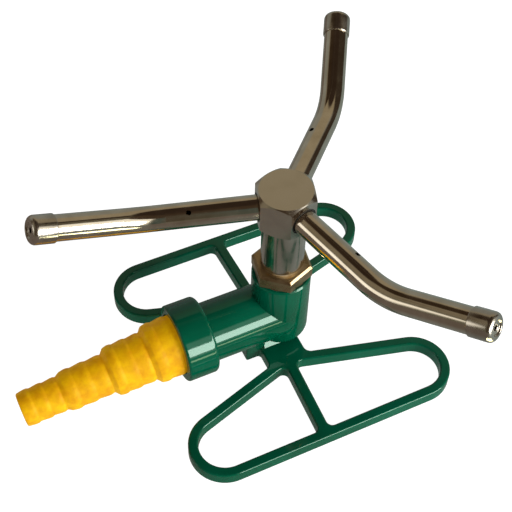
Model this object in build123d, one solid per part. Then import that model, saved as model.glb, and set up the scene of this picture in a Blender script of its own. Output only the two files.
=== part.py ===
from build123d import *
from math import asin, atan2, cos, degrees, hypot, radians, sin
import os

# Three-arm rotary lawn sprinkler on a one-piece stand.
# Millimetres. The origin is on the ground under the rotor's axis. +Z is up along that axis,
# -X runs along the inlet pipe towards the hose, and the two wings lie at -Y and +Y.

# ---- stand: two looped wings and the web between them ----
STAND_LENGTH = 119.8          # along the inlet axis
STAND_WIDTH = 116.0           # across both wings
WING_END_RADIUS = 15.2        # outside radius of the rounded wing ends
WING_NECK_X = -3.3            # where the outer edges of a wing's two slanting bars would meet
WING_NECK_Y = 14.4
BAR_WIDTH = 4.2
BAR_HEIGHT = 5.8
BAR_EDGE = 0.8                # rounding of every top edge
SPOKE_WIDTH = 4.6
SPOKE_X_INNER = -3.2
SPOKE_X_OUTER = -5.0          # the spokes lean a little towards the hose
HOLE_CORNER = 2.6
WEB_X_HOSE = -12.0
WEB_X_FAR = 5.6
WEB_FILLET = 3.2

# ---- stand: elbow, tower, inlet pipe and saddle ----
PIPE_AXIS_Z = 21.5
PIPE_RADIUS = 12.8
TOWER_RADIUS = 12.4
TOWER_TOP = 46.3
TOWER_EDGE = 0.6
ELBOW_ROUND = 4.0             # rounding under the elbow, where the tower meets the foot
DOME_SET_BACK = 2.0           # the pipe's domed end is centred this far short of the tower's axis
COLLAR_RADIUS = 16.7
COLLAR_LENGTH = 13.6
MOUTH_X = -48.3               # the collar's open end
COLLAR_LIP = 1.0
COLLAR_BACK_ROUND = 1.8
SADDLE_HALF_WIDTH = 7.2
SADDLE_X_HOSE = -17.6
WATERWAY_RADIUS = 7.0
SADDLE_CORNER = 0.8
FOOT_X_HOSE = -10.2
FOOT_HALF_WIDTH = 8.2         # where it meets the web
FOOT_SLOPE_RUN = 3.0          # the foot's long sides lean in this far
FOOT_SLOPE_RISE = 3.4         # over this height above the web

# ---- screwed joints, drawn at their major diameters ----
THREAD_CLEARANCE = 0.05
RUNNING_CLEARANCE = 0.05
SEAT_CLEARANCE = 0.05
END_PLAY = 0.15               # axial room on each side of the rotor's flange and neck

# ---- building ----
OVERCUT = 1.0                 # a cutter or a joined piece runs this far past the face it meets

# ---- inlet socket, washer and hose adapter ----
INLET_THREAD_RADIUS = 13.2    # G 3/4
INLET_SOCKET_DEPTH = 11.6
INLET_WASHER_THICKNESS = 2.0
INLET_WASHER_WALL = 3.4
INLET_THROAT_RADIUS = 9.0
ADAPTER_DROOP = 5.3           # the soft tail hangs this many degrees below the pipe's axis
ADAPTER_WALL = 2.2
ADAPTER_KNEE = 0.6            # the bore widens this much where the straight plug meets the tail
TAIL_RADII = [12.95, 10.85, 8.75, 7.55]      # hose sizes 1, 3/4, 5/8 and 1/2 inch
TAIL_ENDS = [12.6, 30.4, 50.5, 67.6]         # from the collar's mouth along the tail
TAIL_BARBS = [2, 3, 3, 3]
BARB_HEIGHT = 0.55
BARB_LAND = 1.2
BARB_SHARE_FALL = 0.62        # share of a barb's pitch that slopes down towards the tip
TIP_CHAMFER = 1.0

# ---- gland nut ----
NUT_ACROSS_FLATS = 22.2
NUT_HEX_HEIGHT = 5.8
NUT_CHAMFER = 0.9             # along the six top edges
NUT_TURN = 6.5                # where the tightened nut stops, measured from the head's corners
NUT_THREAD_RADIUS = 9.9
NUT_THREAD_LENGTH = 8.0
GASKET_THICKNESS = 0.8
GASKET_WALL = 0.9
THRUST_WASHER_THICKNESS = 0.8
THRUST_WASHER_WALL = 1.9
SOCKET_CHAMBER_RADIUS = 9.3
SOCKET_CHAMBER_DEPTH = 14.0   # below the tower's top
O_RING_SECTION_RADIUS = 0.75
O_RING_GROOVE_DEPTH = 1.6
O_RING_GROOVE_HEIGHT = 1.9
O_RING_BELOW_TOP = 6.0        # from the nut's top face down to the groove's middle

# ---- rotor ----
STEM_RADIUS = 6.0
STEM_BORE_RADIUS = 4.2
STEM_FLANGE_RADIUS = 8.4
STEM_FLANGE_THICKNESS = 2.4
NECK_RADIUS = 8.9
NECK_EDGE = 0.4
NECK_SOCKET_DEPTH = 13.0
JOINT_WASHER_THICKNESS = 1.0
HEAD_ACROSS_FLATS = 21.8
NECK_LENGTH = 25.75
HEAD_HEIGHT = 16.4
HEAD_CHAMFER = 1.5
HEXAGON_CONE_CLEAR = 0.2      # the turning cone starts this far outside a hexagon's corners
HEXAGON_CONE_INSET = 0.35     # and ends this far inside its flats
HEAD_CHAMBER_RADIUS = 4.6
HEAD_ROOF = 4.0

# ---- arms ----
ARM_COUNT = 3
ARM_ABOVE_HEAD_BOTTOM = 8.0
FIRST_ARM_ANGLE = 164.0       # direction of arm 1 seen from above, from +X towards +Y
ARM_TUBE_RADIUS = 5.0
ARM_TUBE_WALL = 0.9
ARM_BEND_AT = 55.4            # from the rotor's axis to where the two straight runs meet
ARM_OUTER_LENGTH = 44.1       # from there to the face of the nozzle cap
ARM_SWEEP = 16.2              # the outer run turns this far, counter-clockwise from above
ARM_RISE = 19.4               # and climbs this far
ARM_BEND_RADIUS = 42.0
ARM_SOCKET_DEPTH = 3.6
ARM_SEAL_SECTION_RADIUS = 0.36
ARM_SEAL_RECESS = 1.2
PORT_RADIUS = 3.4
SPRAY_HOLE_RADIUS = 1.0
SPRAY_HOLE_AT = 37.4          # from the rotor's axis along the arm
SPRAY_HOLE_ELEVATION = 58.0

# ---- nozzle caps ----
CAP_WALL = 0.6
CAP_LENGTH = 9.4
CAP_END_ROUND = 2.2
CAP_FACE_THICKNESS = 1.6
CAP_DISH_RADIUS = 2.6
CAP_DISH_DEPTH = 0.7
ORIFICE_RADIUS = 1.1

# ---- sizes that follow ----
wing_half_width = STAND_WIDTH / 2
wing_half_length = STAND_LENGTH / 2
nut_seat_z = TOWER_TOP + GASKET_THICKNESS
nut_top_z = nut_seat_z + NUT_HEX_HEIGHT
nut_bottom_z = TOWER_TOP - NUT_THREAD_LENGTH
flange_top_z = nut_bottom_z - THRUST_WASHER_THICKNESS - END_PLAY
neck_bottom_z = nut_top_z + THRUST_WASHER_THICKNESS + END_PLAY
stem_top_z = neck_bottom_z + NECK_SOCKET_DEPTH - JOINT_WASHER_THICKNESS
neck_socket_top_z = neck_bottom_z + NECK_SOCKET_DEPTH
head_bottom_z = neck_bottom_z + NECK_LENGTH
head_top_z = head_bottom_z + HEAD_HEIGHT
arm_axis_z = head_bottom_z + ARM_ABOVE_HEAD_BOTTOM
gland_bore_radius = STEM_RADIUS + RUNNING_CLEARANCE
neck_socket_radius = STEM_RADIUS + THREAD_CLEARANCE
head_face = HEAD_ACROSS_FLATS / 2
tube_root = head_face - ARM_SOCKET_DEPTH
head_corner_angle = FIRST_ARM_ANGLE + 30.0


def cylinder(radius, low, high):
    """A vertical cylinder about the rotor's axis between two heights."""
    return Pos(0, 0, low) * Cylinder(radius, high - low, align=(Align.CENTER, Align.CENTER, Align.MIN))


def ring(outer, inner, low, high):
    """A flat ring about the rotor's axis."""
    return cylinder(outer, low, high) - cylinder(inner, low - OVERCUT, high + OVERCUT)


def along_x(radius, start, end):
    """A cylinder on the inlet axis between two places along X."""
    low, high = min(start, end), max(start, end)
    middle = Pos((low + high) / 2, 0, PIPE_AXIS_Z) * Rot(0, 90, 0)
    return middle * Cylinder(radius, high - low)


def hexagon(across_flats, low, high, corner_angle):
    """A hexagonal bar about the rotor's axis."""
    bar = extrude(RegularPolygon(across_flats / 2, 6, major_radius=False), high - low)
    return Pos(0, 0, low) * Rot(0, 0, corner_angle) * bar


def turned_hexagon(across_flats, low, high, depth, corner_angle):
    """A hexagonal bar whose corners are turned off by a cone at the top and at the bottom."""
    corner = across_flats / 3 ** 0.5 + HEXAGON_CONE_CLEAR
    flat = across_flats / 2 - HEXAGON_CONE_INSET
    drop = depth * (corner - flat) / (corner - across_flats / 2)
    profile = [
        (0, low), (flat, low), (corner, low + drop), (corner, high - drop), (flat, high), (0, high)
    ]
    turned = revolve(Plane.XZ * make_face(Polyline(*profile, close=True)), Axis.Z)
    return hexagon(across_flats, low, high, corner_angle) & turned


# ---- stand ----
def meet(point_a, angle_a, point_b, angle_b):
    """Where two lines in plan cross, each given by a point and a direction in radians."""
    ux, uy = cos(angle_a), sin(angle_a)
    vx, vy = cos(angle_b), sin(angle_b)
    gap_x, gap_y = point_b[0] - point_a[0], point_b[1] - point_a[1]
    along = (gap_x * vy - gap_y * vx) / (ux * vy - uy * vx)
    return (point_a[0] + along * ux, point_a[1] + along * uy)


def slant(end):
    """Direction of a slanting bar's outer edge, from the neck to the rounded end at -X or +X."""
    run = end * (wing_half_length - WING_END_RADIUS) - WING_NECK_X
    rise = wing_half_width - WING_END_RADIUS - WING_NECK_Y
    return atan2(rise, run) - end * asin(WING_END_RADIUS / hypot(run, rise))


def window(end):
    """The opening between a slanting bar, the spoke and the outer bar of the wing at +Y."""
    angle = slant(end)
    inner = (WING_NECK_X - end * BAR_WIDTH * sin(angle), WING_NECK_Y + end * BAR_WIDTH * cos(angle))
    spoke_angle = atan2(wing_half_width - WING_NECK_Y, SPOKE_X_OUTER - SPOKE_X_INNER)
    spoke_edge = (SPOKE_X_INNER + end * SPOKE_WIDTH / 2, WING_NECK_Y)
    outer = (0, wing_half_width - BAR_WIDTH)
    corners = [
        meet(inner, angle, spoke_edge, spoke_angle),
        meet(outer, 0, spoke_edge, spoke_angle),
        meet(outer, 0, inner, angle),
    ]
    radii = [HOLE_CORNER, HOLE_CORNER, WING_END_RADIUS - BAR_WIDTH]
    return make_face(FilletPolyline(*corners, radius=radii, close=True))


def stand_plan():
    """The stand's flat outline with the four openings of its wings."""
    neck = (WING_NECK_X, WING_NECK_Y)
    outer = (0, wing_half_width)
    hose_side = [
        (SADDLE_X_HOSE, SADDLE_HALF_WIDTH),
        (WEB_X_HOSE, SADDLE_HALF_WIDTH),
        meet(neck, slant(-1), (WEB_X_HOSE, 0), radians(90)),
        meet(neck, slant(-1), outer, 0),
    ]
    far_side = [
        meet(neck, slant(1), outer, 0),
        meet(neck, slant(1), (WEB_X_FAR, 0), radians(90)),
    ]
    radii = [SADDLE_CORNER, WEB_FILLET / 2, WEB_FILLET, WING_END_RADIUS, WING_END_RADIUS, WEB_FILLET]
    half = hose_side + far_side
    other = [(x, -y) for x, y in reversed(half)]
    outline = FilletPolyline(*half, *other, radius=radii + radii[::-1], close=True)
    plan = make_face(outline)
    for end in (-1, 1):
        opening = window(end)
        plan -= opening
        plan -= mirror(opening, about=Plane.XZ)
    return plan


def stand_solid():
    slab = extrude(stand_plan(), BAR_HEIGHT)
    return fillet(slab.edges().group_by(Axis.Z)[-1], BAR_EDGE)


def saddle():
    """Square block under the pipe, on the hose side of the foot."""
    length = FOOT_X_HOSE - SADDLE_X_HOSE
    block = Pos((FOOT_X_HOSE + SADDLE_X_HOSE) / 2, 0, 0) * Box(
        length + 2 * SADDLE_CORNER, 2 * SADDLE_HALF_WIDTH, PIPE_AXIS_Z,
        align=(Align.CENTER, Align.CENTER, Align.MIN)
    )
    return fillet(block.edges().filter_by(Axis.Z), SADDLE_CORNER)


def foot():
    """Block between the web and the elbow, with its two long sides leaning in above the web."""
    shoulder = BAR_HEIGHT + FOOT_SLOPE_RISE
    waist = FOOT_HALF_WIDTH - FOOT_SLOPE_RUN
    side = [(FOOT_HALF_WIDTH, 0), (FOOT_HALF_WIDTH, BAR_HEIGHT), (waist, shoulder), (waist, PIPE_AXIS_Z)]
    other = [(-y, z) for y, z in reversed(side)]
    section = make_face(Polyline(*side, *other, close=True))
    return Pos(FOOT_X_HOSE, 0, 0) * extrude(Plane.YZ * section, WEB_X_FAR - FOOT_X_HOSE)


def make_base_frame():
    """The whole moulding: wings, saddle, elbow, tower and collar, with the waterway cut through."""
    collar_end = MOUTH_X + COLLAR_LENGTH
    collar = along_x(COLLAR_RADIUS, MOUTH_X, collar_end)
    collar = fillet(collar.edges().sort_by(Axis.X)[-1], COLLAR_BACK_ROUND)
    collar = fillet(collar.edges().sort_by(Axis.X)[0], COLLAR_LIP)
    body = cylinder(TOWER_RADIUS, PIPE_AXIS_Z - PIPE_RADIUS, TOWER_TOP)
    body = chamfer(body.edges().group_by(Axis.Z)[-1], TOWER_EDGE)
    body = fillet(body.edges().group_by(Axis.Z)[0], ELBOW_ROUND)
    body += along_x(PIPE_RADIUS, collar_end - OVERCUT, -DOME_SET_BACK)
    body += Pos(-DOME_SET_BACK, 0, PIPE_AXIS_Z) * Sphere(PIPE_RADIUS)
    body += collar
    body += stand_solid() + saddle() + foot()
    body -= cylinder(NUT_THREAD_RADIUS + THREAD_CLEARANCE, nut_bottom_z, TOWER_TOP + OVERCUT)
    body -= cylinder(SOCKET_CHAMBER_RADIUS, TOWER_TOP - SOCKET_CHAMBER_DEPTH, TOWER_TOP)
    body -= cylinder(WATERWAY_RADIUS, PIPE_AXIS_Z, TOWER_TOP)
    body -= along_x(INLET_THREAD_RADIUS + THREAD_CLEARANCE, MOUTH_X - OVERCUT, MOUTH_X + INLET_SOCKET_DEPTH)
    body -= along_x(INLET_THROAT_RADIUS, MOUTH_X, 0)
    body -= Pos(0, 0, PIPE_AXIS_Z) * Sphere(INLET_THROAT_RADIUS)
    return body


def make_inlet_washer():
    outer = INLET_THREAD_RADIUS - SEAT_CLEARANCE
    low = MOUTH_X + INLET_SOCKET_DEPTH - INLET_WASHER_THICKNESS
    high = MOUTH_X + INLET_SOCKET_DEPTH
    return along_x(outer, low, high) - along_x(outer - INLET_WASHER_WALL, low - OVERCUT, high + OVERCUT)


def tail_profile():
    """Half-section of the tail: four sizes, each with shallow barbs that ramp down to the tip.

    Distances run from the collar's mouth along the tail.
    """
    points = [(-OVERCUT, 0), (-OVERCUT, TAIL_RADII[0] - BARB_HEIGHT)]
    start = 0.0
    for radius, end, barbs in zip(TAIL_RADII, TAIL_ENDS, TAIL_BARBS):
        pitch = (end - start) / barbs
        for number in range(barbs):
            near = start + number * pitch
            fall = pitch * BARB_SHARE_FALL
            root = radius - BARB_HEIGHT
            rise_end = near + pitch - fall - BARB_LAND
            points += [(rise_end, radius), (rise_end + BARB_LAND, radius), (near + pitch, root)]
        start = end
    points[-1] = (start, TAIL_RADII[-1] - BARB_HEIGHT - TIP_CHAMFER / 2)
    points.append((start, 0))
    return points


def make_hose_adapter():
    """Threaded plug in the collar, and the stepped tail that droops from the collar's mouth."""
    plug_end = MOUTH_X + INLET_SOCKET_DEPTH - INLET_WASHER_THICKNESS
    plug = along_x(INLET_THREAD_RADIUS, MOUTH_X, plug_end)
    points = tail_profile()
    tail = revolve(Plane.XY * make_face(Polyline(*points, close=True)), Axis.X)
    near_bore = TAIL_RADII[0] - ADAPTER_WALL - ADAPTER_KNEE
    tip_bore = TAIL_RADII[-1] - ADAPTER_WALL
    beyond = TAIL_ENDS[-1] + OVERCUT
    taper = [(0, 0), (0, near_bore), (beyond, tip_bore), (beyond, 0)]
    bore = revolve(Plane.XY * make_face(Polyline(*taper, close=True)), Axis.X)
    place = Pos(MOUTH_X, 0, PIPE_AXIS_Z) * Rot(0, -ADAPTER_DROOP, 0) * Rot(0, 180, 0)
    body = plug + place * tail
    body -= along_x(near_bore, MOUTH_X, plug_end + OVERCUT)
    body -= place * bore
    body -= Pos(MOUTH_X, 0, PIPE_AXIS_Z) * Sphere(near_bore + ADAPTER_KNEE)
    return body


def make_gland_nut():
    """Hexagonal nut that screws into the tower and holds the rotor's stem down."""
    body = hexagon(NUT_ACROSS_FLATS, nut_seat_z, nut_top_z, head_corner_angle + NUT_TURN)
    body = chamfer(body.edges().group_by(Axis.Z)[-1], NUT_CHAMFER)
    body += cylinder(NUT_THREAD_RADIUS, nut_bottom_z, nut_seat_z)
    body -= cylinder(gland_bore_radius, nut_bottom_z - OVERCUT, nut_top_z + OVERCUT)
    groove_z = nut_top_z - O_RING_BELOW_TOP
    half = O_RING_GROOVE_HEIGHT / 2
    body -= ring(gland_bore_radius + O_RING_GROOVE_DEPTH, STEM_RADIUS, groove_z - half, groove_z + half)
    return body


def make_nut_gasket():
    inner = NUT_THREAD_RADIUS + SEAT_CLEARANCE
    return ring(inner + GASKET_WALL, inner, TOWER_TOP, nut_seat_z)


def make_stem_o_ring():
    middle = gland_bore_radius + O_RING_SECTION_RADIUS
    return Pos(0, 0, nut_top_z - O_RING_BELOW_TOP) * Torus(middle, O_RING_SECTION_RADIUS)


def thrust_washer(low):
    return ring(gland_bore_radius + THRUST_WASHER_WALL, gland_bore_radius, low, low + THRUST_WASHER_THICKNESS)


def make_rotor_stem():
    """Brass tube with a flange below the nut and a thread in the rotor's neck."""
    flange_bottom_z = flange_top_z - STEM_FLANGE_THICKNESS
    body = cylinder(STEM_FLANGE_RADIUS, flange_bottom_z, flange_top_z)
    body += cylinder(STEM_RADIUS, flange_top_z, stem_top_z)
    return body - cylinder(STEM_BORE_RADIUS, flange_bottom_z - OVERCUT, stem_top_z + OVERCUT)


def make_stem_joint_washer():
    return ring(STEM_RADIUS - SEAT_CLEARANCE, STEM_BORE_RADIUS, stem_top_z, neck_socket_top_z)


def arm_frame(number):
    """Place of one arm: its X runs outwards along the arm, its origin on the rotor's axis."""
    return Pos(0, 0, arm_axis_z) * Rot(0, 0, FIRST_ARM_ANGLE + number * 360 / ARM_COUNT)


def outer_direction():
    sweep, rise = radians(ARM_SWEEP), radians(ARM_RISE)
    return Vector(cos(sweep) * cos(rise), sin(sweep) * cos(rise), sin(rise))


def arm_line(start, stop_short):
    """Centre line of an arm from a distance off the axis to a distance short of the cap's face."""
    bend = Vector(ARM_BEND_AT, 0, 0)
    end = bend + outer_direction() * (ARM_OUTER_LENGTH - stop_short)
    return FilletPolyline((start, 0, 0), tuple(bend), tuple(end), radius=ARM_BEND_RADIUS)


def along_arm(radius, start, end):
    """A cylinder on an arm's inner run between two distances from the rotor's axis."""
    return Pos((start + end) / 2, 0, 0) * Rot(0, 90, 0) * Cylinder(radius, end - start)


def swept_tube(outer, inner, start, stop_short):
    line = arm_line(start, stop_short)
    section = Plane(origin=(start, 0, 0), x_dir=(0, 1, 0), z_dir=(1, 0, 0))
    solid = sweep(section * Circle(outer), path=line)
    return solid - sweep(section * Circle(inner), path=line)


def make_rotor_head():
    """Neck and hexagonal head turned from one bar, with a blind chamber and three ports."""
    body = turned_hexagon(HEAD_ACROSS_FLATS, head_bottom_z, head_top_z, HEAD_CHAMFER, head_corner_angle)
    neck = cylinder(NECK_RADIUS, neck_bottom_z, head_bottom_z + OVERCUT)
    neck = chamfer(neck.edges().group_by(Axis.Z)[0], NECK_EDGE)
    body += neck
    body -= cylinder(neck_socket_radius, neck_bottom_z - OVERCUT, neck_socket_top_z)
    body -= cylinder(HEAD_CHAMBER_RADIUS, neck_bottom_z, head_top_z - HEAD_ROOF)
    for number in range(ARM_COUNT):
        place = arm_frame(number)
        recess = head_face - ARM_SEAL_RECESS
        seal_radius = ARM_TUBE_RADIUS + 2 * ARM_SEAL_SECTION_RADIUS + SEAT_CLEARANCE
        body -= place * along_arm(seal_radius, recess, head_face + OVERCUT)
        body -= place * along_arm(ARM_TUBE_RADIUS + SEAT_CLEARANCE, tube_root, head_face)
        body -= place * along_arm(PORT_RADIUS, 0, tube_root + OVERCUT)
    return body


def make_arm_tube(number):
    """Bent tube from the head's socket to the inside of the nozzle cap, with one spray hole."""
    inner = ARM_TUBE_RADIUS - ARM_TUBE_WALL
    tube = swept_tube(ARM_TUBE_RADIUS, inner, tube_root, CAP_FACE_THICKNESS)
    tilt = Rot(SPRAY_HOLE_ELEVATION - 90, 0, 0)
    hole = Pos(SPRAY_HOLE_AT, 0, 0) * tilt * Cylinder(
        SPRAY_HOLE_RADIUS, 2 * ARM_TUBE_RADIUS, align=(Align.CENTER, Align.CENTER, Align.MIN)
    )
    return arm_frame(number) * (tube - hole)


def make_arm_seal(number):
    middle = ARM_TUBE_RADIUS + ARM_SEAL_SECTION_RADIUS
    place = Pos(head_face - ARM_SEAL_RECESS / 2, 0, 0) * Rot(0, 90, 0)
    return arm_frame(number) * place * Torus(middle, ARM_SEAL_SECTION_RADIUS)


def make_nozzle_cap(number):
    """Drawn cap over the tube's end, with a dished face and the outlet in its middle."""
    outer = ARM_TUBE_RADIUS + CAP_WALL
    body = Cylinder(outer, CAP_LENGTH, align=(Align.CENTER, Align.CENTER, Align.MAX))
    body = fillet(body.edges().group_by(Axis.Z)[-1], CAP_END_ROUND)
    body -= Pos(0, 0, -CAP_FACE_THICKNESS) * Cylinder(
        ARM_TUBE_RADIUS, CAP_LENGTH, align=(Align.CENTER, Align.CENTER, Align.MAX)
    )
    sphere_radius = (CAP_DISH_RADIUS ** 2 + CAP_DISH_DEPTH ** 2) / (2 * CAP_DISH_DEPTH)
    body -= Pos(0, 0, sphere_radius - CAP_DISH_DEPTH) * Sphere(sphere_radius)
    body -= Cylinder(ORIFICE_RADIUS, 3 * CAP_FACE_THICKNESS)
    direction = outer_direction()
    face = Vector(ARM_BEND_AT, 0, 0) + direction * ARM_OUTER_LENGTH
    return arm_frame(number) * Plane(origin=face, z_dir=direction).location * body


def main():
    os.makedirs("parts", exist_ok=True)
    pieces = {
        "base_frame": make_base_frame(),
        "hose_adapter": make_hose_adapter(),
        "inlet_washer": make_inlet_washer(),
        "gland_nut": make_gland_nut(),
        "nut_gasket": make_nut_gasket(),
        "stem_o_ring": make_stem_o_ring(),
        "lower_thrust_washer": thrust_washer(nut_bottom_z - THRUST_WASHER_THICKNESS),
        "upper_thrust_washer": thrust_washer(nut_top_z),
        "rotor_head": make_rotor_head(),
        "rotor_stem": make_rotor_stem(),
        "stem_joint_washer": make_stem_joint_washer(),
    }
    for number in range(ARM_COUNT):
        pieces[f"arm_tube_{number + 1}"] = make_arm_tube(number)
        pieces[f"arm_seal_{number + 1}"] = make_arm_seal(number)
        pieces[f"nozzle_cap_{number + 1}"] = make_nozzle_cap(number)
    for name, piece in pieces.items():
        export_step(piece, f"parts/{name}.step")


main()
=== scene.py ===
"""Looks of a three-arm lawn sprinkler on a looped stand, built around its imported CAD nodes."""
import math

import bmesh
import bpy
from mathutils import Matrix, Vector


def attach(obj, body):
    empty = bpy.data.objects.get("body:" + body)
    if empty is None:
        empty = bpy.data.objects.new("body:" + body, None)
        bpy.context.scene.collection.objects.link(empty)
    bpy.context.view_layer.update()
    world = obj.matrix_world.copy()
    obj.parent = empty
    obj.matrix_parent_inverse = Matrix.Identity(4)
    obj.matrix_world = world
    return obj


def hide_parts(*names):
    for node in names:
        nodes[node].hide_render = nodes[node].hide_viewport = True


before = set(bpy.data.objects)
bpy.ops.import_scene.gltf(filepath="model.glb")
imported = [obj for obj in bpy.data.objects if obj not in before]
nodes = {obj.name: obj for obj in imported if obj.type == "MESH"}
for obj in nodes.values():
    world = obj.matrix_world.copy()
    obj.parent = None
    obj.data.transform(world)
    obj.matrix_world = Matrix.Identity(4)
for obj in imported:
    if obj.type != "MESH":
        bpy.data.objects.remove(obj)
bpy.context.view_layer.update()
MM = 0.001

# The arms, as the CAD source has them, with angles in degrees.
ARM_COUNT = 3
FIRST_ARM_ANGLE = 164.0
ARM_BEND_AT = 55.4 * MM
ARM_OUTER_LENGTH = 44.1 * MM
ARM_SWEEP = 16.2
ARM_RISE = 19.4
ARM_AXIS_Z = 87.6 * MM
ARM_TUBE_RADIUS = 5.0 * MM

# The nozzle caps; their lip, rolled end, ring and dish are shaped here.
CAP_WALL = 0.52 * MM
CAP_FIT = 0.01 * MM
CAP_LENGTH = 9.4 * MM
CAP_LIP = 0.25 * MM
CAP_ROUND = 2.0 * MM
CAP_ROUND_STEPS = 6
CAP_RING = 0.45 * MM
CAP_DISH_DEPTH = 0.7 * MM
# How deep the swell round the outlet lies, as a share of the dish's depth.
CAP_SWELL_SHARE = 0.6
CAP_FACE_THICKNESS = 1.6 * MM
CAP_SOFTNESS = 0.12 * MM
OUTLET_RADIUS = 1.1 * MM

# Where the hose adapter leaves the collar, its droop in degrees, and how soft its ridges are.
MOUTH_X = -48.3 * MM
PIPE_AXIS_Z = 21.5 * MM
ADAPTER_DROOP = 5.3
TAIL_SOFTNESS = 0.9 * MM

# The adapter's stepped tail, in plain millimetres from the collar's mouth.
TAIL_RADII = [12.95, 10.85, 8.75, 7.55]
TAIL_ENDS = [12.6, 30.4, 50.5, 67.6]
TAIL_BARBS = [2, 3, 3, 3]
TAIL_TUCK = 3.0
TAIL_WALL = 2.2
BARB_HEIGHT = 0.42
BARB_LAND = 1.2
# How much of a barb's length is left behind its land, as a share.
BARB_FALL_SHARE = 0.62
STEP_SLOPE = 1.8
TIP_ROUND = 0.5

# Turned pieces: steps round the axis, the angle from which a ring is rounded off, the steps
# across such a rounding, and the distance under which two points are one.
SPIN_STEPS = 96
SHARP_RING = math.radians(4)
SOFT_RING_STEPS = 4
SAME_POINT = 1e-7

# How far a brass part's roughness strays from its middle, as a share.
POLISH_SPREAD = 0.3


# ---- helpers ----
def linear(hex_colour):
    """An sRGB hex colour as the linear values that Blender's sockets take."""
    channels = [int(hex_colour[i:i + 2], 16) / 255 for i in (1, 3, 5)]
    lit = [c / 12.92 if c <= 0.04045 else ((c + 0.055) / 1.055) ** 2.4 for c in channels]
    return (*lit, 1.0)


def add_node(tree, kind, inputs=None, stops=(), **settings):
    """A node with its settings; an input that is a socket is linked, anything else is set."""
    node = tree.nodes.new(kind)
    for name, value in settings.items():
        setattr(node, name, value)
    for number, (position, hex_colour) in enumerate(stops):
        node.color_ramp.elements[number].position = position
        node.color_ramp.elements[number].color = linear(hex_colour)
    for socket, value in (inputs or {}).items():
        if isinstance(value, bpy.types.NodeSocket):
            tree.links.new(value, node.inputs[socket])
        else:
            node.inputs[socket].default_value = value
    return node


def new_material(name):
    """An empty material, its node tree, and the Object coordinates that its patterns follow."""
    material = bpy.data.materials.new(name)
    material.use_nodes = True
    tree = material.node_tree
    tree.nodes.clear()
    place = add_node(tree, "ShaderNodeTexCoord").outputs["Object"]
    return material, tree, place


def dress(material, *names):
    """Gives CAD nodes their finish."""
    for name in names:
        piece = nodes[name]
        piece.data.materials.clear()
        piece.data.materials.append(material)


def made_from(name, shape):
    """An object in the scene from a finished bmesh."""
    mesh = bpy.data.meshes.new(name)
    shape.to_mesh(mesh)
    shape.free()
    piece = bpy.data.objects.new(name, mesh)
    bpy.context.scene.collection.objects.link(piece)
    return piece


# ---- materials ----
def moulded_green_abs():
    """Bottle-green ABS out of a polished mould: deep colour under a hard clear gloss.

    The gloss is what shows, so the colour drifts only a little, the surface has the faint
    ripple that a moulding keeps, and handling has dulled it in soft patches.
    """
    material, tree, place = new_material("moulded_green_abs_gloss")
    flow = add_node(tree, "ShaderNodeTexNoise", {
        "Vector": place, "Scale": 1 / (22 * MM), "Detail": 2.0})
    colour = add_node(tree, "ShaderNodeValToRGB", {"Fac": flow.outputs["Fac"]},
                      stops=[(0.3, "#00462F"), (0.7, "#00553D")])
    handled = add_node(tree, "ShaderNodeTexNoise", {
        "Vector": place, "Scale": 1 / (9 * MM), "Detail": 6.0, "Roughness": 0.6})
    gloss = add_node(tree, "ShaderNodeMapRange", {
        "Value": handled.outputs["Fac"], "From Min": 0.3, "From Max": 0.75,
        "To Min": 0.05, "To Max": 0.11})
    ripple = add_node(tree, "ShaderNodeTexNoise", {
        "Vector": place, "Scale": 1 / (5 * MM), "Detail": 1.0})
    bump = add_node(tree, "ShaderNodeBump", {
        "Height": ripple.outputs["Fac"], "Strength": 0.10, "Distance": 0.10 * MM})
    shader = add_node(tree, "ShaderNodeBsdfPrincipled", {
        "Base Color": colour.outputs["Color"], "Roughness": gloss.outputs["Result"],
        "IOR": 1.54, "Specular Tint": linear("#D6F6EA"), "Normal": bump.outputs["Normal"]})
    add_node(tree, "ShaderNodeOutputMaterial", {"Surface": shader.outputs["BSDF"]})
    return material


def soft_yellow_pvc():
    """Plasticised yellow PVC: satin and translucent, so its shaded sides stay warm and bright.

    The faint glow is painted light: an orange emission that brightens every side and stands for
    light crossing the thick soft wall from the other side.
    """
    material, tree, place = new_material("soft_yellow_pvc_satin")
    cloud = add_node(tree, "ShaderNodeTexNoise", {
        "Vector": place, "Scale": 1 / (5 * MM), "Detail": 4.0, "Roughness": 0.6})
    colour = add_node(tree, "ShaderNodeValToRGB", {"Fac": cloud.outputs["Fac"]},
                      stops=[(0.35, "#C48A00"), (0.65, "#DCB000")])
    # The mould's etched grain is some 0.1 mm wide; it is 2 mm here so that it shows.
    grain = add_node(tree, "ShaderNodeTexNoise", {
        "Vector": place, "Scale": 1 / (2 * MM), "Detail": 3.0})
    bump = add_node(tree, "ShaderNodeBump", {
        "Height": grain.outputs["Fac"], "Strength": 0.5, "Distance": 0.3 * MM})
    shader = add_node(tree, "ShaderNodeBsdfPrincipled", {
        "Base Color": colour.outputs["Color"], "Roughness": 0.55, "IOR": 1.5,
        "Specular IOR Level": 0.15, "Normal": bump.outputs["Normal"],
        "Subsurface Weight": 0.3, "Subsurface Radius": (1.0, 0.7, 0.1),
        "Subsurface Scale": 2.5 * MM,
        # Painted light: a faint orange emission glow that keeps the shaded sides bright.
        "Emission Color": linear("#EFA200"), "Emission Strength": 0.19})
    add_node(tree, "ShaderNodeOutputMaterial", {"Surface": shader.outputs["BSDF"]})
    return material


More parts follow.
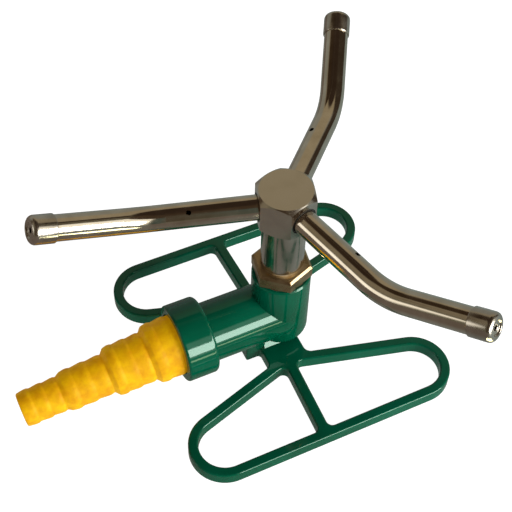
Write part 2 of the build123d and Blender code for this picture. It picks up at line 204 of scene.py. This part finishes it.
def plated_brass(name, tint_low, tint_high, roughness):
    """Nickel plate over drawn or turned brass: a warm grey mirror with soft tarnish.

    The tarnish shifts the tint and the polish together, so the reflections break up a little.
    Where the plate is thin or was never there, the tints are browner.
    """
    material, tree, place = new_material(name)
    tarnish = add_node(tree, "ShaderNodeTexNoise", {
        "Vector": place, "Scale": 1 / (6 * MM), "Detail": 5.0})
    colour = add_node(tree, "ShaderNodeValToRGB", {"Fac": tarnish.outputs["Fac"]},
                      stops=[(0.3, tint_low), (0.7, tint_high)])
    gloss = add_node(tree, "ShaderNodeMapRange", {
        "Value": tarnish.outputs["Fac"], "From Min": 0.3, "From Max": 0.7,
        "To Min": roughness * (1 - POLISH_SPREAD), "To Max": roughness * (1 + POLISH_SPREAD)})
    # Polishing marks are some 0.02 mm apart on the real part; they are 1.5 mm here to show.
    marks = add_node(tree, "ShaderNodeTexNoise", {
        "Vector": place, "Scale": 1 / (1.5 * MM), "Detail": 1.0})
    bump = add_node(tree, "ShaderNodeBump", {
        "Height": marks.outputs["Fac"], "Strength": 0.08, "Distance": 0.03 * MM})
    shader = add_node(tree, "ShaderNodeBsdfPrincipled", {
        "Base Color": colour.outputs["Color"], "Metallic": 1.0,
        "Roughness": gloss.outputs["Result"], "Normal": bump.outputs["Normal"]})
    add_node(tree, "ShaderNodeOutputMaterial", {"Surface": shader.outputs["BSDF"]})
    return material


def dull_material(name, dark, light, grain_mm, roughness, bump_strength):
    """A dull stock material: two near tones in a grain of this size, over a finely uneven face."""
    material, tree, place = new_material(name)
    grain = add_node(tree, "ShaderNodeTexNoise", {
        "Vector": place, "Scale": 1 / (grain_mm * MM), "Detail": 4.0, "Roughness": 0.6})
    colour = add_node(tree, "ShaderNodeValToRGB", {"Fac": grain.outputs["Fac"]},
                      stops=[(0.3, dark), (0.7, light)])
    bump = add_node(tree, "ShaderNodeBump", {
        "Height": grain.outputs["Fac"], "Strength": bump_strength, "Distance": 0.1 * MM})
    shader = add_node(tree, "ShaderNodeBsdfPrincipled", {
        "Base Color": colour.outputs["Color"], "Roughness": roughness,
        "Normal": bump.outputs["Normal"]})
    add_node(tree, "ShaderNodeOutputMaterial", {"Surface": shader.outputs["BSDF"]})
    return material


def black_nitrile_rubber():
    """Black nitrile rubber: matt, with the faint grey bloom that it gets in store."""
    return dull_material("black_nitrile_rubber_matt", "#101010", "#1D1D1C",
                         grain_mm=1.6, roughness=0.62, bump_strength=0.2)


def red_fibre():
    """Vulcanised red-brown fibre, cut from sheet: dry and slightly mottled."""
    return dull_material("vulcanised_fibre_cut_sheet", "#4A1D14", "#6B2F20",
                         grain_mm=0.9, roughness=0.8, bump_strength=0.35)


def natural_nylon():
    """Turned natural nylon: milky, with a soft satin face."""
    return dull_material("natural_nylon_turned", "#D9D4C2", "#EAE6D8",
                         grain_mm=3.0, roughness=0.45, bump_strength=0.1)


# ---- new pieces ----
def spun(name, outline, place, soft_radius):
    """A piece turned from a closed outline of (along, radius) points, with its rings rounded."""
    shape = bmesh.new()
    points = [shape.verts.new((radius, 0, along)) for along, radius in outline]
    edges = [shape.edges.new((a, b)) for a, b in zip(points, points[1:] + points[:1])]
    bmesh.ops.spin(shape, geom=points + edges, cent=(0, 0, 0), axis=(0, 0, 1),
                   angle=2 * math.pi, steps=SPIN_STEPS, use_merge=True)
    bmesh.ops.remove_doubles(shape, verts=shape.verts, dist=SAME_POINT)
    bmesh.ops.recalc_face_normals(shape, faces=shape.faces)
    rings = [edge for edge in shape.edges
             if abs(edge.verts[0].co.z - edge.verts[1].co.z) < SAME_POINT
             and abs(edge.verts[0].co.xy.length - edge.verts[1].co.xy.length) < SAME_POINT
             and edge.calc_face_angle(0) > SHARP_RING]
    bmesh.ops.bevel(shape, geom=rings, offset=soft_radius, offset_type="OFFSET", affect="EDGES",
                    segments=SOFT_RING_STEPS, profile=0.5, clamp_overlap=True, material=-1)
    for face in shape.faces:
        face.smooth = True
    bmesh.ops.transform(shape, verts=shape.verts, matrix=place)
    return made_from(name, shape)


def tail_outline():
    """The stepped tail from the collar's mouth to its tip and back along the bore."""
    outline = [(-TAIL_TUCK, TAIL_RADII[0] - BARB_HEIGHT)]
    start = 0.0
    for radius, end, barbs in zip(TAIL_RADII, TAIL_ENDS, TAIL_BARBS):
        pitch = (end - start) / barbs
        for barb in range(barbs):
            near = start + barb * pitch
            rise_end = near + pitch - BARB_FALL_SHARE * pitch - BARB_LAND
            outline += [(near, radius - BARB_HEIGHT), (rise_end, radius),
                        (rise_end + BARB_LAND, radius)]
        outline.append((end - STEP_SLOPE, radius - BARB_HEIGHT))
        start = end
    tip = TAIL_ENDS[-1]
    tip_radius = TAIL_RADII[-1] - BARB_HEIGHT
    outline[-1] = (tip - TIP_ROUND, tip_radius)
    outline += [(tip, tip_radius - TIP_ROUND), (tip, TAIL_RADII[-1] - TAIL_WALL),
                (-TAIL_TUCK, TAIL_RADII[0] - TAIL_WALL)]
    return [(along * MM, radius * MM) for along, radius in outline]


def add_hose_adapter(material):
    """The soft tail, drooping from the collar's mouth, with every ridge rounded."""
    mouth = Matrix.Translation((MOUTH_X, 0, PIPE_AXIS_Z))
    droop = Matrix.Rotation(math.radians(-90 - ADAPTER_DROOP), 4, "Y")
    tail = spun("soft_hose_adapter", tail_outline(), mouth @ droop, TAIL_SOFTNESS)
    tail.data.materials.append(material)
    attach(tail, "base")
    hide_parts("hose_adapter")


def cap_outline():
    """A drawn cap: rolled end, a ring pressed round the face, a dish and the outlet."""
    bore = ARM_TUBE_RADIUS + CAP_FIT
    outer = ARM_TUBE_RADIUS + CAP_WALL
    outline = [(-CAP_LENGTH, bore), (-CAP_LENGTH, outer - CAP_LIP),
               (CAP_LIP - CAP_LENGTH, outer)]
    for step in range(CAP_ROUND_STEPS + 1):
        turn = math.pi / 2 * step / CAP_ROUND_STEPS
        outline.append((-CAP_ROUND * (1 - math.sin(turn)),
                        outer - CAP_ROUND * (1 - math.cos(turn))))
    face = outer - CAP_ROUND
    outline += [(0, face - CAP_RING), (-CAP_DISH_DEPTH, face - 2 * CAP_RING),
                (-CAP_DISH_DEPTH * CAP_SWELL_SHARE, OUTLET_RADIUS + 2 * CAP_RING),
                (-CAP_DISH_DEPTH, OUTLET_RADIUS), (-CAP_FACE_THICKNESS, OUTLET_RADIUS),
                (-CAP_FACE_THICKNESS, bore)]
    return outline


def add_nozzle_caps():
    """The three caps, each at the end of its arm and square to the arm's outer run."""
    rise, sweep = math.radians(ARM_RISE), math.radians(ARM_SWEEP)
    outward = Vector((math.cos(rise) * math.cos(sweep), math.cos(rise) * math.sin(sweep),
                      math.sin(rise)))
    turn = outward.to_track_quat("Z", "Y").to_matrix().to_4x4()
    face = Matrix.Translation(Vector((ARM_BEND_AT, 0, 0)) + outward * ARM_OUTER_LENGTH)
    for number in range(ARM_COUNT):
        angle = math.radians(FIRST_ARM_ANGLE + number * 360 / ARM_COUNT)
        arm = Matrix.Translation((0, 0, ARM_AXIS_Z)) @ Matrix.Rotation(angle, 4, "Z")
        cap = spun(f"drawn_nozzle_cap_{number + 1}", cap_outline(), arm @ face @ turn,
                   CAP_SOFTNESS)
        cap.data.materials.append(plated_brass(
            f"plated_brass_cap_{number + 1}", "#B8AFA2", "#D8D0C4", roughness=0.20))
        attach(cap, "rotor")
        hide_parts(f"nozzle_cap_{number + 1}")


rubber, fibre, nylon = black_nitrile_rubber(), red_fibre(), natural_nylon()
dress(moulded_green_abs(), "base_frame")
# The drawn tubes have the brightest polish. The nut's plate is worn thin, and the stem has none.
dress(plated_brass("plated_brass_head", "#CDC6BA", "#DAD3C7", roughness=0.17), "rotor_head")
dress(plated_brass("plated_brass_nut", "#A88C62", "#CBB592", roughness=0.3), "gland_nut")
dress(plated_brass("bare_brass_stem", "#B98F3E", "#CFA555", roughness=0.22), "rotor_stem")
for arm in range(1, ARM_COUNT + 1):
    dress(plated_brass(f"plated_brass_arm_{arm}", "#CBC0AE", "#DFD5C5", roughness=0.11),
          f"arm_tube_{arm}")
    dress(rubber, f"arm_seal_{arm}")
dress(rubber, "inlet_washer", "stem_o_ring")
dress(fibre, "nut_gasket", "stem_joint_washer")
dress(nylon, "lower_thrust_washer", "upper_thrust_washer")
add_hose_adapter(soft_yellow_pvc())
add_nozzle_caps()


# ---- camera ----
CAMERA_AZIMUTH = math.radians(-26.61)
CAMERA_ELEVATION = math.radians(51.71)
CAMERA_ROLL = math.radians(1.8)
CAMERA_TARGET = Vector((-0.00179, 0.02012, 0.03333))
CAMERA_DISTANCE = 0.46870
CAMERA_LENS = 76.56


def compass(azimuth, elevation):
    """The direction of a place at this azimuth and elevation, seen from the object."""
    flat = math.cos(elevation)
    return Vector((math.sin(azimuth) * flat, -math.cos(azimuth) * flat, math.sin(elevation)))


def add_camera():
    back = compass(CAMERA_AZIMUTH, CAMERA_ELEVATION)
    right = (-back).cross(Vector((0, 0, 1))).normalized()
    up = right.cross(-back)
    turned_right = right * math.cos(CAMERA_ROLL) + up * math.sin(CAMERA_ROLL)
    turned_up = up * math.cos(CAMERA_ROLL) - right * math.sin(CAMERA_ROLL)
    camera = bpy.data.objects.new("camera", bpy.data.cameras.new("camera"))
    camera.data.lens = CAMERA_LENS
    camera.data.sensor_width = 36.0
    camera.data.clip_start, camera.data.clip_end = 0.01, 100.0
    bpy.context.scene.collection.objects.link(camera)
    matrix = Matrix((turned_right, turned_up, back)).transposed().to_4x4()
    matrix.translation = CAMERA_TARGET + back * CAMERA_DISTANCE
    camera.matrix_world = matrix
    bpy.context.scene.camera = camera


# ---- studio ----
FLOOR_RADIUS = 6.0
DISC_SIDES = 96
# How far each surface lies under the feet.
FLOOR_DROP, STRIP_DROP, TABLE_DROP = 0.1 * MM, 0.5 * MM, 1 * MM
# The table in reflections shades from warm to cool between these places on X.
TABLE_WARM_X, TABLE_COOL_X = -0.10, 0.12
STRIP_NEAR, STRIP_FAR = 0.145, 0.235
STRIP_LEFT, STRIP_RIGHT = -0.03, 0.11
ROOM_RADIUS = 7.0
ROOM_WALL = "#6E6A5A"
# Azimuth, half width, elevation, half height and soft edge in degrees, colour and strength.
# They are painted in order, the later over the earlier. Azimuth 0 is in front, 90 to the right.
ROOM_PATCHES = [
    (180, 180, -45, 43, 4, "#8A948E", 1.0),  # below the table's edge
    (140, 60, 48, 22, 8, "#9C9078", 1.0),    # upper wall, back right
    (-135, 40, 50, 20, 8, "#857A66", 1.0),   # upper wall, back left
    (140, 80, 15, 18, 6, "#8E8E86", 1.0),    # lower wall, back right
    (0, 180, 90, 34, 3, "#352920", 1.0),     # dark ceiling
    (-158, 22, 52, 13, 4, "#382B1E", 1.0),   # dark corner under it, back left
    (87, 9, 20, 40, 3, "#3C3228", 1.0),      # dark post, right
    (-5, 6, 20, 40, 3, "#4C5650", 1.0),      # dark post, front
    (-40, 28, 45, 40, 4, "#46382A", 1.0),    # dark wall, front left
    (32, 27, 17, 30, 4, "#FFFBF0", 1.3),     # light curtain, front right
    (30, 40, 58, 13, 3, "#46382A", 1.0),     # dark pelmet over the curtain
    (-128, 9, 20, 18, 4, "#463626", 1.0),    # dark post, back left
    (-102, 10, 8, 14, 4, "#FAF6EC", 1.5),    # low bright window, left
]


def glow(name, strength=1.0):
    """A shining material, its tree and Object coordinates, and the socket that takes its colour."""
    material, tree, place = new_material(name)
    light = add_node(tree, "ShaderNodeEmission", {"Strength": strength})
    add_node(tree, "ShaderNodeOutputMaterial", {"Surface": light.outputs["Emission"]})
    return material, tree, place, light.inputs["Color"]


def only_in_reflections(piece):
    piece.visible_camera = False
    piece.visible_diffuse = False
    piece.visible_shadow = False
    piece.visible_transmission = False
    piece.visible_volume_scatter = False


def disc(name, radius, height):
    shape = bmesh.new()
    bmesh.ops.create_circle(shape, cap_ends=True, segments=DISC_SIDES, radius=radius)
    bmesh.ops.translate(shape, verts=shape.verts, vec=(0, 0, height))
    return made_from(name, shape)


def add_floor():
    """A white floor, which reflections don't see."""
    floor = disc("floor", FLOOR_RADIUS, -FLOOR_DROP)
    floor.visible_glossy = False
    material, tree, place = new_material("white_paper_matt")
    fleck = add_node(tree, "ShaderNodeTexNoise", {
        "Vector": place, "Scale": 1 / (60 * MM), "Detail": 2.0})
    colour = add_node(tree, "ShaderNodeValToRGB", {"Fac": fleck.outputs["Fac"]},
                      stops=[(0.3, "#8E8E8D"), (0.7, "#949493")])
    shader = add_node(tree, "ShaderNodeBsdfPrincipled", {
        "Base Color": colour.outputs["Color"], "Roughness": 0.9,
        "Emission Color": linear("#FFFFFF"), "Emission Strength": 0.97})
    add_node(tree, "ShaderNodeOutputMaterial", {"Surface": shader.outputs["BSDF"]})
    floor.data.materials.append(material)


def add_table():
    """A grey table top just under the floor, which only reflections see."""
    table = disc("table_in_reflections", FLOOR_RADIUS, -TABLE_DROP)
    material, tree, place, shine = glow("table_warm_to_cool")
    across = add_node(tree, "ShaderNodeSeparateXYZ", {"Vector": place}).outputs["X"]
    share = add_node(tree, "ShaderNodeMapRange", {
        "Value": across, "From Min": TABLE_WARM_X, "From Max": TABLE_COOL_X})
    shade = add_node(tree, "ShaderNodeValToRGB", {"Fac": share.outputs["Result"]},
                     stops=[(0.0, "#6E645C"), (1.0, "#8A9492")])
    tree.links.new(shade.outputs["Color"], shine)
    table.data.materials.append(material)
    only_in_reflections(table)


def inside_band(tree, angle, middle, half, edge):
    """One where an angle lies within half of the middle, falling to nothing over the edge."""
    turned = add_node(tree, "ShaderNodeMath", {0: angle, 1: math.radians(middle)},
                      operation="SUBTRACT")
    wrapped = add_node(tree, "ShaderNodeMath", {0: turned.outputs[0], 1: math.pi, 2: -math.pi},
                       operation="WRAP")
    away = add_node(tree, "ShaderNodeMath", {0: wrapped.outputs[0]}, operation="ABSOLUTE")
    inside = add_node(tree, "ShaderNodeMapRange", {
        "Value": away.outputs[0], "From Min": math.radians(half + edge),
        "From Max": math.radians(half - edge)}, interpolation_type="SMOOTHSTEP")
    return inside.outputs["Result"]


def add_room():
    """The room round the table, as polished surfaces see it: walls, ceiling and light curtain."""
    shape = bmesh.new()
    bmesh.ops.create_uvsphere(shape, u_segments=48, v_segments=24, radius=ROOM_RADIUS)
    room = made_from("room_in_reflections", shape)
    material, tree, place, shine = glow("room")
    direction = add_node(tree, "ShaderNodeVectorMath", {0: place}, operation="NORMALIZE")
    parts = add_node(tree, "ShaderNodeSeparateXYZ", {"Vector": direction.outputs["Vector"]})
    elevation = add_node(tree, "ShaderNodeMath", {0: parts.outputs["Z"]}, operation="ARCSINE")
    front = add_node(tree, "ShaderNodeMath", {0: parts.outputs["Y"], 1: -1.0},
                     operation="MULTIPLY")
    azimuth = add_node(tree, "ShaderNodeMath", {0: parts.outputs["X"], 1: front.outputs[0]},
                       operation="ARCTAN2")
    colour = linear(ROOM_WALL)
    for middle, half_width, height, half_height, edge, tint, strength in ROOM_PATCHES:
        across = inside_band(tree, azimuth.outputs[0], middle, half_width, edge)
        upright = inside_band(tree, elevation.outputs[0], height, half_height, edge)
        both = add_node(tree, "ShaderNodeMath", {0: across, 1: upright}, operation="MULTIPLY")
        lit = (*(channel * strength for channel in linear(tint)[:3]), 1.0)
        painted = add_node(tree, "ShaderNodeMixRGB", {
            "Fac": both.outputs[0], "Color1": colour, "Color2": lit})
        colour = painted.outputs["Color"]
    tree.links.new(colour, shine)
    room.data.materials.append(material)
    only_in_reflections(room)


def add_strip_on_table():
    """A bright edge lying on the table in front, seen only in reflections."""
    shape = bmesh.new()
    bmesh.ops.create_grid(shape, x_segments=1, y_segments=1, size=0.5)
    bmesh.ops.scale(shape, verts=shape.verts, vec=(
        STRIP_RIGHT - STRIP_LEFT, STRIP_FAR - STRIP_NEAR, 1))
    bmesh.ops.translate(shape, verts=shape.verts, vec=(
        (STRIP_LEFT + STRIP_RIGHT) / 2, -(STRIP_FAR + STRIP_NEAR) / 2, -STRIP_DROP))
    strip = made_from("strip_in_reflections", shape)
    material, *_, shine = glow("strip", strength=7.0)
    shine.default_value = linear("#E4E4BC")
    strip.data.materials.append(material)
    only_in_reflections(strip)


def add_area_light(name, azimuth, elevation, distance, width, height, radiance, colour):
    """A rectangular light facing the object; radiance is how bright its face is."""
    data = bpy.data.lights.new(name, "AREA")
    data.shape = "RECTANGLE"
    data.size, data.size_y = width, height
    data.energy = radiance * math.pi * width * height
    data.color = linear(colour)[:3]
    light = bpy.data.objects.new(name, data)
    bpy.context.scene.collection.objects.link(light)
    direction = compass(math.radians(azimuth), math.radians(elevation))
    light.location = direction * distance
    light.rotation_mode = "QUATERNION"
    light.rotation_quaternion = direction.to_track_quat("Z", "Y")
    return light


def add_world():
    """A white backdrop that lights nothing."""
    world = bpy.data.worlds.new("world")
    bpy.context.scene.world = world
    world.use_nodes = True
    background = world.node_tree.nodes["Background"]
    background.inputs["Color"].default_value = linear("#FFFFFF")
    background.inputs["Strength"].default_value = 1.0
    world.cycles_visibility.glossy = False
    world.cycles_visibility.diffuse = False


add_camera()
add_floor()
add_table()
add_room()
add_world()
add_strip_on_table()
add_area_light("window", azimuth=28, elevation=18.5, distance=1.2, width=0.87, height=0.50,
               radiance=13.0, colour="#FFFDF8")
soft_fill = add_area_light("soft_fill", azimuth=-60, elevation=70, distance=1.4, width=1.4,
                           height=1.4, radiance=1.2, colour="#FFFFFF")
soft_fill.visible_glossy = False

bpy.context.scene.view_settings.view_transform = "Standard"
bpy.context.scene.view_settings.look = "None"
